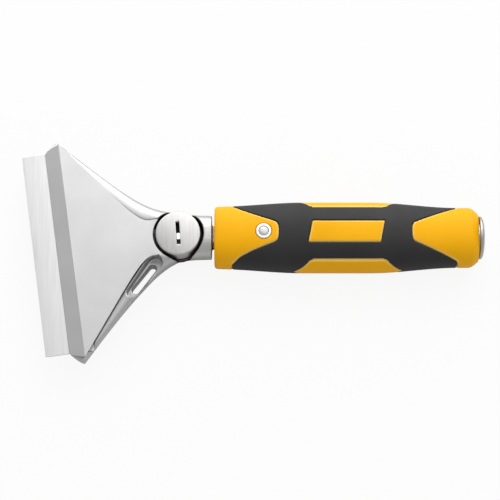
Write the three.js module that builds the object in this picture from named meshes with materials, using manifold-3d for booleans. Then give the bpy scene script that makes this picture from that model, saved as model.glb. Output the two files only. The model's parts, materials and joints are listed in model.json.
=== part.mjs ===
// Floor scraper: a die-cast head that clamps a wide blade, on a two-material grip with a steel
// striking cap. Millimetres. X runs along the handle from the blade to the cap, Z out of the
// dial side, and the tool lies on its back on the plane Z = 0.
import * as THREE from 'three';
import { mergeVertices } from 'three/addons/utils/BufferGeometryUtils.js';
import Module from 'manifold-3d';

const wasm = await Module();
wasm.setup();

// ---- driving dimensions (heights are measured from the handle's axis) ----
const FIT = 0.3; // clearance between pieces that seat in each other
const SLIP = 0.1; // clearance between faces that lie flat on each other

const HEAD_SKEW = THREE.MathUtils.degToRad(8.3); // the head is set aslant to the handle
const HEAD_REACH = 58.2; // dial axis to the jaw's front edge
const EAR_REACH = 52; // dial axis to the widest place, at the head's ears
const EAR = 5.3; // how far an ear stands out beyond the blade's end
const FLARE = [12.5, 12.9]; // where the straight side starts to curve into the neck
const FLARE_END = [8, 10.8]; // where that curve has become the neck's side
const KEEL_FRONT = -1.5; // underside at the jaw's front edge
const KEEL_NECK = -10; // underside at the neck

const BLADE_LENGTH = 100;
const BLADE_DEPTH = 23;
const BLADE_THICK = 0.8;
const BLADE_STICKOUT = 11.5; // from the jaw's front edge to the cutting edge
const BLADE_SEAT = 3; // height of the blade's underside
const EDGE_GRIND = 1.8; // width of the ground bevel
const EDGE_THICK = 0.2;

const PLATE_THICK = 3.15; // the upper jaw
const PLATE_FRONT_THICK = 0.9; // what the front bevel leaves at the edge
const PLATE_BEVEL = 7; // length of the front bevel
const PLATE_EDGE_ROUND = 0.9;
const PLATE_EAR_REACH = 52.4; // dial axis to the plate's widest place
const PLATE_EAR = 3.6; // how far the plate stands out beyond the blade's end there
const PLATE_FLARE = [26, 15.7]; // where the plate's straight side starts to curve
const PLATE_TAIL = [12.8, 8]; // where the plate's side reaches the dial's pocket
const THROAT_HALF = 6.8; // the rib that joins the plate to its tongue
const THROAT_REACH = 17;
const TONGUE_RADIUS = 10.9;
const TONGUE_THICK = 2.9;

const DIAL_RADIUS = 10.8;
const DIAL_TOP = 9;
const DIAL_THICK = 8.4;
const DIAL_CHAMFER = 0.7;
const DIAL_GAP = 1.35; // ring between the dial and its pocket
const COIN_SLOT = [1.9, 11.2, 5.7]; // width, length, depth
const COIN_SLOT_TURN = THREE.MathUtils.degToRad(4.2);
const WASHER_RADIUS = 8;
const WASHER_THICK = 0.7;
const STUD_RADIUS = 2.5;
const STUD_TENON_RADIUS = 2;
const INSERT_RADIUS = 4;
const INSERT_LENGTH = 6.2;
const SPRING_WIRE = 0.8;
const SPRING_HEIGHT = 2.6;
const SPRING_TURNS = 2;
const CLIP_RADIUS = 4.4;
const CLIP_THICK = 0.6;
const CLIP_ROOM = 2.5; // depth of the hollow that the clip travels in
const LIFT = 1; // travel of the upper jaw
const PAD_RADIUS = 9; // foot under the dial that the head rests on

const NECK_END = 16;
const NECK_HALF_WIDTH = 10.45;
const NECK_CROWN = 8.8;
const TANG_WIDTH = 8.4;
const TANG_HEIGHT = 13;
const TANG_END = 58;

const GUIDE_PIN_AT = [42, 20.75]; // reach and half-spacing of the pins that guide the plate
const GUIDE_PIN_RADIUS = 1.25;
const GUIDE_PIN_DEPTH = 5; // length held in the casting
const GUIDE_PIN_HEAD = 2; // length that stands up into the plate
const HANG_SLOT = [[26.2, -23.2], [13.8, -12.4]]; // centres of the slot's round ends
const HANG_SLOT_WIDTH = 4.4;

const GRIP_START = 17.3;
const GRIP_END = 143.7;
const GRIP_HALF_WIDTH = 17.2;
const GRIP_HALF_HEIGHT = 12.5;
const GRIP_SQUARENESS = 2.2; // 2 is an ellipse
const SLEEVE_START = 25.6;
const SLEEVE_END = 133.4;
const SLEEVE_THICK = 2;
const PANEL_START = 63.2;
const PANEL_END = 97.3;
const PANEL_HALF = 5.2;
const PANEL_LEAN = 1; // the panel's ends lean by this much
const WINDOW_START = 55;
const WINDOW_END = 107;
const WINDOW_CORNER = 8; // tip to shoulder of a side window
const WINDOW_HALF_HEIGHT = 8.3;

const RIVET_AT = 40.8;
const RIVET_RADIUS = 2.35;
const FERRULE_RADIUS = 3.8;
const FERRULE_DEPTH = 2.4;
const ROD_RADIUS = 4;
const ROD_THREAD_RADIUS = 3.3;
const ROD_THREAD = 12; // length screwed into the tang
const ROD_CAP_THREAD = 9.5; // length screwed into the cap
const CAP_RADIUS = 10.3;
const CAP_THICK = 2.5;
const CAP_FLAT_RADIUS = 4;
const CAP_SPIGOT_RADIUS = 8.2;
const CAP_SPIGOT = 12.2;
const LOCK_WASHER_THICK = 1.2; // between the cap's spigot and the core

// ---- levels and places that follow from them ----
const bladeTop = BLADE_SEAT + BLADE_THICK;
const plateBottom = bladeTop + SLIP / 2;
const plateTop = plateBottom + PLATE_THICK;
const pocketRadius = DIAL_RADIUS + DIAL_GAP;
const dialBottom = DIAL_TOP - DIAL_THICK;
const washerTop = dialBottom - SLIP;
const tongueTop = washerTop - WASHER_THICK - SLIP;
const tongueBottom = tongueTop - TONGUE_THICK;
const pocketFloor = tongueBottom - 2 * SLIP;
const springRadius = INSERT_RADIUS + FIT + SPRING_WIRE;
const springRoomRadius = springRadius + SPRING_WIRE;
const springFloor = pocketFloor - SPRING_HEIGHT;
const insertTop = pocketFloor - 2 * SLIP;
const clipCeiling = insertTop - INSERT_LENGTH - 2 * SLIP;
const padBottom = Math.min(-GRIP_HALF_HEIGHT, clipCeiling - CLIP_ROOM);
const slotFloor = DIAL_TOP - COIN_SLOT[2];
const spigotFront = GRIP_END - CAP_SPIGOT;
const FAR = 60; // cutters reach this far past the piece

// ---- materials ----
function finish(color, roughness, metalness) {
  return new THREE.MeshStandardMaterial({ color, roughness, metalness });
}
const castAluminium = finish(0xc9ccce, 0.38, 1);
const brushedSteel = finish(0xd3d5d8, 0.3, 1);
const darkSteel = finish(0x8f8a80, 0.35, 1);
const yellowPlastic = finish(0xf2ae1c, 0.4, 0);
const blackRubber = finish(0x2c2b2b, 0.75, 0);

// ---- turning three.js geometry into solids and back ----
function solid(geometry) {
  const bare = geometry.clone();
  bare.deleteAttribute('normal');
  bare.deleteAttribute('uv');
  const merged = mergeVertices(bare, 1e-4);
  const vertProperties = new Float32Array(merged.attributes.position.array);
  const triVerts = new Uint32Array(merged.index.array);
  return new wasm.Manifold(new wasm.Mesh({ numProp: 3, vertProperties, triVerts }));
}

function piece(name, body, material) {
  const { vertProperties, triVerts } = body.getMesh();
  const geometry = new THREE.BufferGeometry();
  geometry.setAttribute('position', new THREE.BufferAttribute(new Float32Array(vertProperties), 3));
  geometry.setIndex(new THREE.BufferAttribute(new Uint32Array(triVerts), 1));
  geometry.computeVertexNormals();
  const mesh = new THREE.Mesh(geometry, material);
  mesh.name = name;
  return mesh;
}

// ---- basic shapes ----
function shapeOf(points) {
  return new THREE.Shape(points.map(([x, y]) => new THREE.Vector2(x, y)));
}

// An upright prism over a plan outline.
function prism(points, low, high) {
  const geometry = new THREE.ExtrudeGeometry(shapeOf(points), { depth: high - low, bevelEnabled: false });
  return solid(geometry.translate(0, 0, low));
}

// A prism that runs across the tool, over an outline in length and height.
function crossPrism(points, halfSpan) {
  const settings = { depth: 2 * halfSpan, bevelEnabled: false };
  const geometry = new THREE.ExtrudeGeometry(shapeOf(points), settings);
  return solid(geometry.translate(0, 0, -halfSpan).rotateX(Math.PI / 2));
}

function block(low, high) {
  const size = high.map((value, axis) => value - low[axis]);
  const middle = high.map((value, axis) => (value + low[axis]) / 2);
  return solid(new THREE.BoxGeometry(...size).translate(...middle));
}

// Turned pieces: the profile lists [radius, height] and starts and ends on the axis or closes.
function turned(profile, segments = 40) {
  const points = profile.map(([radius, height]) => new THREE.Vector2(radius, height));
  return solid(new THREE.LatheGeometry(points, segments).rotateX(Math.PI / 2));
}

function drum(radius, low, high, segments = 40) {
  return turned([[0, low], [radius, low], [radius, high], [0, high]], segments);
}

function ring(inner, outer, low, high, segments = 40) {
  return turned([[inner, low], [outer, low], [outer, high], [inner, high], [inner, low]], segments);
}

// Lays a turned piece along the handle, so that its height becomes the distance along X.
function alongHandle(body) {
  return body.rotate([0, 90, 0]);
}

function inHeadFrame(body) {
  return body.rotate([0, 0, THREE.MathUtils.radToDeg(HEAD_SKEW)]);
}

// Moves every side of a plan outline outwards by the same distance (inwards if negative).
function grow(points, distance) {
  const area = THREE.ShapeUtils.area(points.map(([x, y]) => new THREE.Vector2(x, y)));
  const outward = Math.sign(area) * distance;
  return points.map(([x, y], index) => {
    const [px, py] = points[(index + points.length - 1) % points.length];
    const [nx, ny] = points[(index + 1) % points.length];
    const before = new THREE.Vector2(x - px, y - py).normalize();
    const after = new THREE.Vector2(nx - x, ny - y).normalize();
    const share = outward / (1 + before.dot(after));
    return [x + (before.y + after.y) * share, y - (before.x + after.x) * share];
  });
}

// A solid through rings that all have the same number of points; flat ends close it.
function loft(rings) {
  const count = rings[0].length;
  const positions = rings.flat(2);
  const indices = [];
  for (let level = 0; level + 1 < rings.length; level += 1) {
    for (let side = 0; side < count; side += 1) {
      const a = level * count + side;
      const b = level * count + ((side + 1) % count);
      indices.push(a, b, b + count, a, b + count, a + count);
    }
  }
  const flatEnd = (points, start, turnedOver) => {
    const [origin, u, v] = endPlane(points);
    const outline = points.map((point) => {
      const offset = new THREE.Vector3(...point).sub(origin);
      return new THREE.Vector2(offset.dot(u), offset.dot(v));
    });
    for (const [a, b, c] of THREE.ShapeUtils.triangulateShape(outline, [])) {
      const order = turnedOver ? [a, c, b] : [a, b, c];
      indices.push(...order.map((corner) => start + corner));
    }
  };
  flatEnd(rings[0], 0, true);
  flatEnd(rings.at(-1), (rings.length - 1) * count, false);
  const geometry = new THREE.BufferGeometry();
  geometry.setAttribute('position', new THREE.Float32BufferAttribute(positions, 3));
  geometry.setIndex(indices);
  return solid(geometry);
}

// Two directions in a ring's plane, turned so that the ring runs anticlockwise in them.
function endPlane(points) {
  const origin = new THREE.Vector3(...points[0]);
  const normal = new THREE.Vector3();
  points.forEach((point, index) => {
    const here = new THREE.Vector3(...point).sub(origin);
    const next = new THREE.Vector3(...points[(index + 1) % points.length]).sub(origin);
    normal.add(here.cross(next));
  });
  normal.normalize();
  const helper = Math.abs(normal.z) < 0.9 ? new THREE.Vector3(0, 0, 1) : new THREE.Vector3(1, 0, 0);
  const u = new THREE.Vector3().crossVectors(helper, normal).normalize();
  const v = new THREE.Vector3().crossVectors(normal, u);
  return [origin, u, v];
}

// ---- the head's outlines: [reach from the dial axis, half-width] ----
function flareCurve(from, bendStart, bendEnd, to) {
  const corners = [from, bendStart, bendEnd, to].map(([x, y]) => new THREE.Vector2(x, y));
  return new THREE.CubicBezierCurve(...corners);
}
const earTip = [EAR_REACH, BLADE_LENGTH / 2 + EAR];
const headSide = flareCurve(earTip, FLARE, FLARE_END, [-NECK_END, NECK_HALF_WIDTH]);
const plateCorner = [PLATE_EAR_REACH, BLADE_LENGTH / 2 + PLATE_EAR];
const plateSide = flareCurve(plateCorner, PLATE_FLARE, [PLATE_TAIL[0] + 6.5, PLATE_TAIL[1]], PLATE_TAIL);

// Half-width of a side curve at a reach, found by halving the span.
function halfWidthAt(curve, reach) {
  let low = 0;
  let high = 1;
  for (let step = 0; step < 40; step += 1) {
    const middle = (low + high) / 2;
    if (curve.getPoint(middle).x > reach) low = middle;
    else high = middle;
  }
  return curve.getPoint(low).y;
}

// Both sides of a symmetric outline in the head's frame, where the blade is towards -X.
function bothSides(side) {
  const left = side.map(([reach, half]) => [-reach, half]);
  const right = side.map(([reach, half]) => [-reach, -half]).reverse();
  return [...right, ...left].reverse();
}

function plateOutline() {
  const curve = plateSide.getPoints(14).map((point) => [point.x, point.y]);
  const front = [[HEAD_REACH, BLADE_LENGTH / 2], [PLATE_EAR_REACH + 2.6, plateCorner[1] - 0.7]];
  return bothSides([...front, ...curve, [PLATE_TAIL[0] - 4, PLATE_TAIL[1]]]);
}

// ---- head casting: lower jaw, arms, neck and tang in one piece ----
function headStation(reach) {
  const ease = (from, to) => THREE.MathUtils.smoothstep(reach, from, to);
  const earCut = Math.max(0, reach - EAR_REACH) / (HEAD_REACH - EAR_REACH);
  const wide = reach > EAR_REACH
    ? BLADE_LENGTH / 2 + EAR * (1 - earCut ** 1.4)
    : halfWidthAt(headSide, reach);
  const plateEdge = reach > PLATE_EAR_REACH
    ? wide - (earTip[1] - plateCorner[1]) * (1 - earCut)
    : halfWidthAt(plateSide, Math.max(reach, PLATE_TAIL[0]));
  const flat = THREE.MathUtils.lerp(0.6, Math.min(plateEdge, wide - 0.3), ease(-4, PLATE_TAIL[0]));
  const slope = THREE.MathUtils.clamp((reach - 5) / (HEAD_REACH - 5), 0, 1);
  return {
    reach,
    wide,
    flat,
    base: THREE.MathUtils.lerp(0.6, wide - 2.5, ease(0, 20)),
    keel: THREE.MathUtils.lerp(KEEL_NECK, KEEL_FRONT, slope),
    flank: THREE.MathUtils.lerp(-0.6, BLADE_SEAT - 1.2, ease(10, 40)),
    crown: THREE.MathUtils.lerp(NECK_CROWN, bladeTop, ease(-2, 32)),
  };
}

// Half a section from the keel out to the flank and up to the crown, as [half-width, height].
function halfSection({ wide, flat, base, keel, flank, crown }) {
  const steps = 6;
  const half = [];
  for (let step = 0; step <= steps; step += 1) {
    const angle = (step / steps) * (Math.PI / 2);
    half.push([base + (wide - base) * Math.sin(angle), flank + (keel - flank) * Math.cos(angle)]);
  }
  for (let step = 1; step <= steps; step += 1) {
    const angle = (step / steps) * (Math.PI / 2);
    half.push([flat + (wide - flat) * Math.cos(angle), flank + (crown - flank) * Math.sin(angle)]);
  }
  return half;
}

// The section's ring on the bent spine: aslant in the head, square to the handle in the neck.
function headRing(station) {
  const half = halfSection(station);
  const section = [...half, ...half.map(([y, z]) => [-y, z]).reverse()];
  const turn = HEAD_SKEW * THREE.MathUtils.smoothstep(station.reach, -10, 12);
  const spine = station.reach > 0 ? HEAD_SKEW : 0;
  const x = -station.reach * Math.cos(spine);
  const y = -station.reach * Math.sin(spine);
  return section.map(([across, height]) => [x - across * Math.sin(turn), y + across * Math.cos(turn), height]);
}

function headBlank() {
  const reaches = [HEAD_REACH, HEAD_REACH - 2.2, HEAD_REACH - 4.2, EAR_REACH];
  for (let reach = EAR_REACH - 4; reach > -NECK_END + 2; reach -= 4) reaches.push(reach);
  reaches.push(-NECK_END);
  return loft(reaches.map((reach) => headRing(headStation(reach))));
}

// Hollows under the jaw, between the ribs of the casting.
function ribHollows() {
  const roof = BLADE_SEAT - 2;
  const inner = [[-49, 3], [-49, 19], [-38, 19], [-24, 8], [-22, 3]];
  const outer = [[-49, 22.5], [-49, 43], [-47, 43], [-36.5, 30.5], [-36.5, 22.5]];
  const hollows = [inner, outer].flatMap((outline) => [outline, outline.map(([x, y]) => [x, -y])]);
  return hollows.map((outline) => prism(outline, -FAR, roof));
}

// One entry for each guide pin: its place in the head's frame, left and right.
const guidePinPlaces = [-1, 1].map((side) => [-GUIDE_PIN_AT[0], side * GUIDE_PIN_AT[1], 0]);

function hangSlot() {
  const [[x1, y1], [x2, y2]] = HANG_SLOT.map(([reach, across]) => [-reach, across]);
  const heading = Math.atan2(y2 - y1, x2 - x1);
  const radius = HANG_SLOT_WIDTH / 2;
  const outline = [];
  for (let step = 0; step <= 10; step += 1) {
    const angle = heading + Math.PI / 2 + (step / 10) * Math.PI;
    outline.push([x1 + radius * Math.cos(angle), y1 + radius * Math.sin(angle)]);
  }
  for (let step = 0; step <= 10; step += 1) {
    const angle = heading - Math.PI / 2 + (step / 10) * Math.PI;
    outline.push([x2 + radius * Math.cos(angle), y2 + radius * Math.sin(angle)]);
  }
  return prism(outline, -FAR, FAR);
}

function headCasting() {
  const tang = block([NECK_END - 2, -TANG_WIDTH / 2, -TANG_HEIGHT / 2], [TANG_END, TANG_WIDTH / 2, TANG_HEIGHT / 2]);
  const pad = drum(PAD_RADIUS, padBottom, KEEL_NECK + 3);
  let body = headBlank().add(tang).add(pad);
  const bladeBack = HEAD_REACH + BLADE_STICKOUT - BLADE_DEPTH - FIT;
  const bladeHalf = BLADE_LENGTH / 2 + FIT;
  const throat = THROAT_HALF + FIT;
  const jawCuts = [
    prism(grow(plateOutline(), FIT), bladeTop, FAR),
    block([-FAR - HEAD_REACH, -bladeHalf, BLADE_SEAT - SLIP / 2], [-bladeBack, bladeHalf, FAR]),
    block([-THROAT_REACH - FIT, -throat, pocketFloor], [0, throat, FAR]),
    hangSlot(),
    ...ribHollows(),
    ...guidePinPlaces.map((at) => drum(GUIDE_PIN_RADIUS + SLIP, bladeTop - GUIDE_PIN_DEPTH, FAR).translate(at)),
  ];
  for (const cut of jawCuts) body = body.subtract(inHeadFrame(cut));
  const bores = [
    drum(pocketRadius, pocketFloor, FAR, 64),
    drum(springRoomRadius, springFloor, FAR),
    drum(INSERT_RADIUS + SLIP, -FAR, FAR),
    drum(CLIP_RADIUS + 2 * FIT, -FAR, clipCeiling),
    drum(RIVET_RADIUS + SLIP, -FAR, FAR).translate([RIVET_AT, 0, 0]),
    alongHandle(drum(ROD_THREAD_RADIUS + SLIP, TANG_END - ROD_THREAD - FIT, TANG_END + FAR)),
  ];
  for (const bore of bores) body = body.subtract(bore);
  return body;
}

// ---- upper jaw: a plate with a rib down to a tongue under the dial ----
function clampPlate() {
  const outline = plateOutline();
  const round = PLATE_EDGE_ROUND;
  const levels = [[0, plateBottom], [0, plateTop - round], [0.3 * round, plateTop - 0.3 * round], [round, plateTop]];
  const rings = levels.map(([inset, z]) => grow(outline, -inset).map(([x, y]) => [x, y, z]));
  const bevelTop = [-HEAD_REACH + PLATE_BEVEL, plateTop];
  const bevelFoot = [-HEAD_REACH - 1, plateBottom + PLATE_FRONT_THICK - PLATE_THICK / PLATE_BEVEL / 2];
  const above = plateTop + 5;
  const bevel = crossPrism([bevelFoot, bevelTop, [bevelTop[0], above], [bevelFoot[0], above]], FAR + BLADE_LENGTH);
  const rib = block([-THROAT_REACH, -THROAT_HALF, tongueBottom], [-6, THROAT_HALF, plateBottom + 0.5]);
  const pinHole = drum(GUIDE_PIN_RADIUS + SLIP, 0, bladeTop + GUIDE_PIN_HEAD + FIT);
  return loft(rings)
    .subtract(bevel)
    .subtract(pinHole.translate(guidePinPlaces[0]))
    .subtract(pinHole.translate(guidePinPlaces[1]))
    .add(rib)
    .subtract(drum(pocketRadius, tongueTop, FAR, 64))
    .add(drum(TONGUE_RADIUS, tongueBottom, tongueTop))
    .subtract(drum(STUD_RADIUS + FIT, -FAR, FAR));
}

// ---- blade: its section run along the cutting edge ----
function scraperBlade() {
  const edge = -HEAD_REACH - BLADE_STICKOUT;
  const back = edge + BLADE_DEPTH;
  const middle = BLADE_SEAT + BLADE_THICK / 2;
  const tip = EDGE_THICK / 2;
  const section = [
    [edge, middle - tip],
    [edge + EDGE_GRIND, BLADE_SEAT],
    [back, BLADE_SEAT],
    [back, bladeTop],
    [edge + EDGE_GRIND, bladeTop],
    [edge, middle + tip],
  ];
  return crossPrism(section, BLADE_LENGTH / 2);
}

function guidePin() {
  return drum(GUIDE_PIN_RADIUS, bladeTop - GUIDE_PIN_DEPTH + SLIP, bladeTop + GUIDE_PIN_HEAD, 24);
}

// ---- dial, stud and what they run in ----
function clampDial() {
  const profile = [
    [0, dialBottom],
    [DIAL_RADIUS - DIAL_CHAMFER, dialBottom],
    [DIAL_RADIUS, dialBottom + DIAL_CHAMFER],
    [DIAL_RADIUS, DIAL_TOP - DIAL_CHAMFER],
    [DIAL_RADIUS - DIAL_CHAMFER, DIAL_TOP],
    [0, DIAL_TOP],
  ];
  const [width, length] = COIN_SLOT;
  const slot = block([-width / 2, -length / 2, slotFloor], [width / 2, length / 2, FAR]);
  return turned(profile, 64)
    .subtract(slot.rotate([0, 0, THREE.MathUtils.radToDeg(COIN_SLOT_TURN)]))
    .subtract(drum(STUD_TENON_RADIUS + SLIP, -FAR, slotFloor + 1));
}

function clampStud() {
  const clipTop = clipCeiling - LIFT - 2 * SLIP;
  const clipBottom = clipTop - CLIP_THICK;
  const neck = STUD_RADIUS - 0.6;
  return turned([
    [0, padBottom + 0.5],
    [STUD_RADIUS - 0.3, padBottom + 0.5],
    [STUD_RADIUS - 0.3, clipBottom - SLIP],
    [neck, clipBottom - SLIP],
    [neck, clipTop + SLIP],
    [STUD_RADIUS, clipTop + SLIP],
    [STUD_RADIUS, dialBottom - SLIP],
    [STUD_TENON_RADIUS, dialBottom - SLIP],
    [STUD_TENON_RADIUS, slotFloor - SLIP],
    [0, slotFloor - SLIP],
  ]);
}

function dialWasher() {
  return ring(STUD_RADIUS + FIT, WASHER_RADIUS, washerTop - WASHER_THICK, washerTop);
}

function studInsert() {
  return ring(STUD_RADIUS + SLIP, INSERT_RADIUS, insertTop - INSERT_LENGTH, insertTop);
}

// A flat clip, open on one side so that it springs into the stud's groove.
function retainingClip() {
  const top = clipCeiling - LIFT - 2 * SLIP;
  const inner = STUD_RADIUS - 0.6 + SLIP;
  const gap = inner * 0.8;
  const body = ring(inner, CLIP_RADIUS, top - CLIP_THICK, top);
  return body.subtract(block([0, -gap, -FAR], [FAR, gap, FAR]));
}

class CoilPath extends THREE.Curve {
  constructor(radius, low, high, turns) {
    super();
    Object.assign(this, { radius, low, high, turns });
  }

  getPoint(t, target = new THREE.Vector3()) {
    const angle = t * this.turns * 2 * Math.PI;
    const height = THREE.MathUtils.lerp(this.low, this.high, t);
    return target.set(this.radius * Math.cos(angle), this.radius * Math.sin(angle), height);
  }
}

function liftSpring() {
  const wire = new THREE.Shape();
  wire.absarc(0, 0, SPRING_WIRE / 2, 0, 2 * Math.PI);
  const low = springFloor + SPRING_WIRE / 2 + SLIP;
  const high = tongueBottom - SPRING_WIRE / 2 - SLIP;
  const extrudePath = new CoilPath(springRadius, low, high, SPRING_TURNS);
  const settings = { extrudePath, steps: 20 * SPRING_TURNS, curveSegments: 3, bevelEnabled: false };
  return solid(new THREE.ExtrudeGeometry(wire, settings));
}

// ---- grip: a hard core with raised islands, and a soft sleeve around them ----
function gripSize(at) {
  const shape = THREE.MathUtils.smoothstep;
  const front = 1 - shape(at, GRIP_START, 60);
  const rear = shape(at, 92, 134);
  const lip = Math.max(0, 1 - (at - GRIP_START) / 1.5);
  const chamfer = Math.max(0, (at - (GRIP_END - 3.9)) / 3.9);
  const cut = 1.3 * lip ** 2 + 2.9 * chamfer ** 1.3;
  return {
    half: GRIP_HALF_WIDTH - 2.1 * front - 2.7 * rear - cut,
    tall: GRIP_HALF_HEIGHT - 0.7 * front - 1.1 * rear - cut,
  };
}

function gripRing(at, inset) {
  const { half, tall } = gripSize(at);
  const count = 36;
  const points = [];
  for (let index = 0; index < count; index += 1) {
    const angle = (index / count) * 2 * Math.PI;
    const power = 2 / GRIP_SQUARENESS;
    const y = (half - inset) * Math.sign(Math.cos(angle)) * Math.abs(Math.cos(angle)) ** power;
    const z = (tall - inset) * Math.sign(Math.sin(angle)) * Math.abs(Math.sin(angle)) ** power;
    points.push([at, y, z]);
  }
  return points;
}

function gripBody(inset, from, to) {
  const stations = [from];
  const inner = [GRIP_START + 0.5, GRIP_START + 1.5, 30, 41, 50, 60, 92, 102, 113, 124, 134];
  for (const at of [...inner, GRIP_END - 3.9, GRIP_END - 2.4, GRIP_END - 1]) {
    if (at > from + 0.1 && at < to - 0.1) stations.push(at);
  }
  stations.push(to);
  return loft(stations.map((at) => gripRing(at, inset)));
}

// Outlines of the hard islands, seen from the dial side.
function frontTongue() {
  const start = SLEEVE_START - 6;
  const side = [[start, 18], [SLEEVE_START + 0.3, 14.2], [35.2, 9.1], [45.6, 5.2], [47.3, 4], [47.7, 2.8]];
  return [...side, ...side.map(([x, y]) => [x, -y]).reverse()].reverse();
}

function rearTongue() {
  const side = [[111.8, 3.2], [112.4, 4.5], [132.6, 12.9], [SLEEVE_END + 5, 16.5]];
  return [...side, ...side.map(([x, y]) => [x, -y]).reverse()].reverse();
}

function centrePanel() {
  const lean = PANEL_LEAN;
  return [
    [PANEL_START - lean, -PANEL_HALF],
    [PANEL_END - lean, -PANEL_HALF],
    [PANEL_END + lean, PANEL_HALF],
    [PANEL_START + lean, PANEL_HALF],
  ];
}

// Outline of a side window, in length and height.
function sideWindow() {
  return [
    [WINDOW_START, 0],
    [WINDOW_START + WINDOW_CORNER, -WINDOW_HALF_HEIGHT],
    [WINDOW_END - WINDOW_CORNER, -WINDOW_HALF_HEIGHT],
    [WINDOW_END, 0],
    [WINDOW_END - WINDOW_CORNER, WINDOW_HALF_HEIGHT],
    [WINDOW_START + WINDOW_CORNER, WINDOW_HALF_HEIGHT],
  ];
}

function islands(distance) {
  const plans = [frontTongue(), centrePanel(), rearTongue()];
  const uprights = plans.map((outline) => prism(grow(outline, distance), -FAR, FAR));
  const across = crossPrism(grow(sideWindow(), distance), FAR);
  return uprights.reduce((sum, next) => sum.add(next), across);
}

function handleCore() {
  const inset = SLEEVE_THICK + FIT / 2;
  const outer = gripBody(0, GRIP_START, GRIP_END);
  const frontCollar = block([0, -FAR, -FAR], [SLEEVE_START - FIT / 2, FAR, FAR]);
  const rearCollar = block([SLEEVE_END + FIT / 2, -FAR, -FAR], [GRIP_END + FAR, FAR, FAR]);
  const raised = islands(-FIT / 2).add(frontCollar).add(rearCollar);
  const core = gripBody(inset, SLEEVE_START - 4, SLEEVE_END + 4).add(outer.intersect(raised));
  const tangHalf = [TANG_WIDTH / 2 + FIT, TANG_HEIGHT / 2 + FIT];
  const ferruleRoom = gripSize(RIVET_AT).tall - FERRULE_DEPTH - SLIP;
  const washerSeat = spigotFront - LOCK_WASHER_THICK - 2 * SLIP;
  return core
    .subtract(block([0, -tangHalf[0], -tangHalf[1]], [TANG_END + FIT, ...tangHalf]))
    .subtract(alongHandle(drum(ROD_RADIUS + FIT, TANG_END, GRIP_END + FAR)))
    .subtract(alongHandle(drum(CAP_SPIGOT_RADIUS + FIT, washerSeat, GRIP_END + FAR)))
    .subtract(drum(RIVET_RADIUS + SLIP, -FAR, FAR).translate([RIVET_AT, 0, 0]))
    .subtract(drum(FERRULE_RADIUS + SLIP, ferruleRoom, FAR).translate([RIVET_AT, 0, 0]))
    .subtract(drum(FERRULE_RADIUS + SLIP, -FAR, -ferruleRoom).translate([RIVET_AT, 0, 0]));
}

function gripSleeve() {
  const from = SLEEVE_START + FIT / 2;
  const to = SLEEVE_END - FIT / 2;
  const shell = gripBody(0, from, to).subtract(gripBody(SLEEVE_THICK - FIT / 2, from - 1, to + 1));
  return shell.subtract(islands(FIT / 2));
}

// ---- what goes through the grip ----
function handleRivet() {
  const reach = gripSize(RIVET_AT).tall + 0.2;
  const head = 0.5;
  return turned([
    [0, -reach],
    [RIVET_RADIUS - head, -reach],
    [RIVET_RADIUS, head - reach],
    [RIVET_RADIUS, reach - head],
    [RIVET_RADIUS - head, reach],
    [0, reach],
  ]).translate([RIVET_AT, 0, 0]);
}

function rivetFerrule(side) {
  const top = gripSize(RIVET_AT).tall;
  const inner = RIVET_RADIUS + SLIP;
  const body = ring(inner, FERRULE_RADIUS, top - FERRULE_DEPTH, top);
  return (side > 0 ? body : body.rotate([180, 0, 0])).translate([RIVET_AT, 0, 0]);
}

function tieRod() {
  const shoulder = TANG_END + FIT;
  const capShoulder = spigotFront - FIT;
  return alongHandle(turned([
    [0, TANG_END - ROD_THREAD],
    [ROD_THREAD_RADIUS, TANG_END - ROD_THREAD],
    [ROD_THREAD_RADIUS, shoulder],
    [ROD_RADIUS, shoulder],
    [ROD_RADIUS, capShoulder],
    [ROD_THREAD_RADIUS, capShoulder],
    [ROD_THREAD_RADIUS, capShoulder + ROD_CAP_THREAD],
    [0, capShoulder + ROD_CAP_THREAD],
  ]));
}

function capLockWasher() {
  const high = spigotFront - SLIP;
  const low = high - LOCK_WASHER_THICK;
  return alongHandle(ring(ROD_RADIUS + FIT, CAP_SPIGOT_RADIUS, low, high));
}

function buttCap() {
  const seat = GRIP_END + FIT;
  const crown = seat + CAP_THICK;
  const bore = ROD_THREAD_RADIUS + SLIP;
  const boreEnd = spigotFront + ROD_CAP_THREAD;
  const profile = [
    [0, boreEnd],
    [bore, boreEnd],
    [bore, spigotFront],
    [CAP_SPIGOT_RADIUS, spigotFront],
    [CAP_SPIGOT_RADIUS, seat],
    [CAP_RADIUS, seat],
  ];
  const steps = 5;
  const rimHeight = seat + 0.8;
  for (let step = 0; step <= steps; step += 1) {
    const angle = (step / steps) * (Math.PI / 2);
    const radius = CAP_FLAT_RADIUS + (CAP_RADIUS - CAP_FLAT_RADIUS) * Math.cos(angle);
    profile.push([radius, rimHeight + (crown - rimHeight) * Math.sin(angle)]);
  }
  profile.push([0, crown]);
  return alongHandle(turned(profile));
}

// ---- assembly ----
const scraper = new THREE.Group();
scraper.add(piece('head_casting', headCasting(), castAluminium.clone()));

const head = new THREE.Group();
head.rotation.z = HEAD_SKEW;
head.add(piece('clamp_plate', clampPlate(), castAluminium.clone()));
head.add(piece('scraper_blade', scraperBlade(), brushedSteel.clone()));
['guide_pin_left', 'guide_pin_right'].forEach((name, index) => {
  const pin = piece(name, guidePin(), darkSteel.clone());
  pin.position.set(...guidePinPlaces[index]);
  head.add(pin);
});
scraper.add(head);

scraper.add(piece('clamp_dial', clampDial(), brushedSteel.clone()));
scraper.add(piece('clamp_stud', clampStud(), brushedSteel.clone()));
scraper.add(piece('dial_washer', dialWasher(), brushedSteel.clone()));
scraper.add(piece('lift_spring', liftSpring(), darkSteel.clone()));
scraper.add(piece('stud_insert', studInsert(), darkSteel.clone()));
scraper.add(piece('retaining_clip', retainingClip(), darkSteel.clone()));

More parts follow.
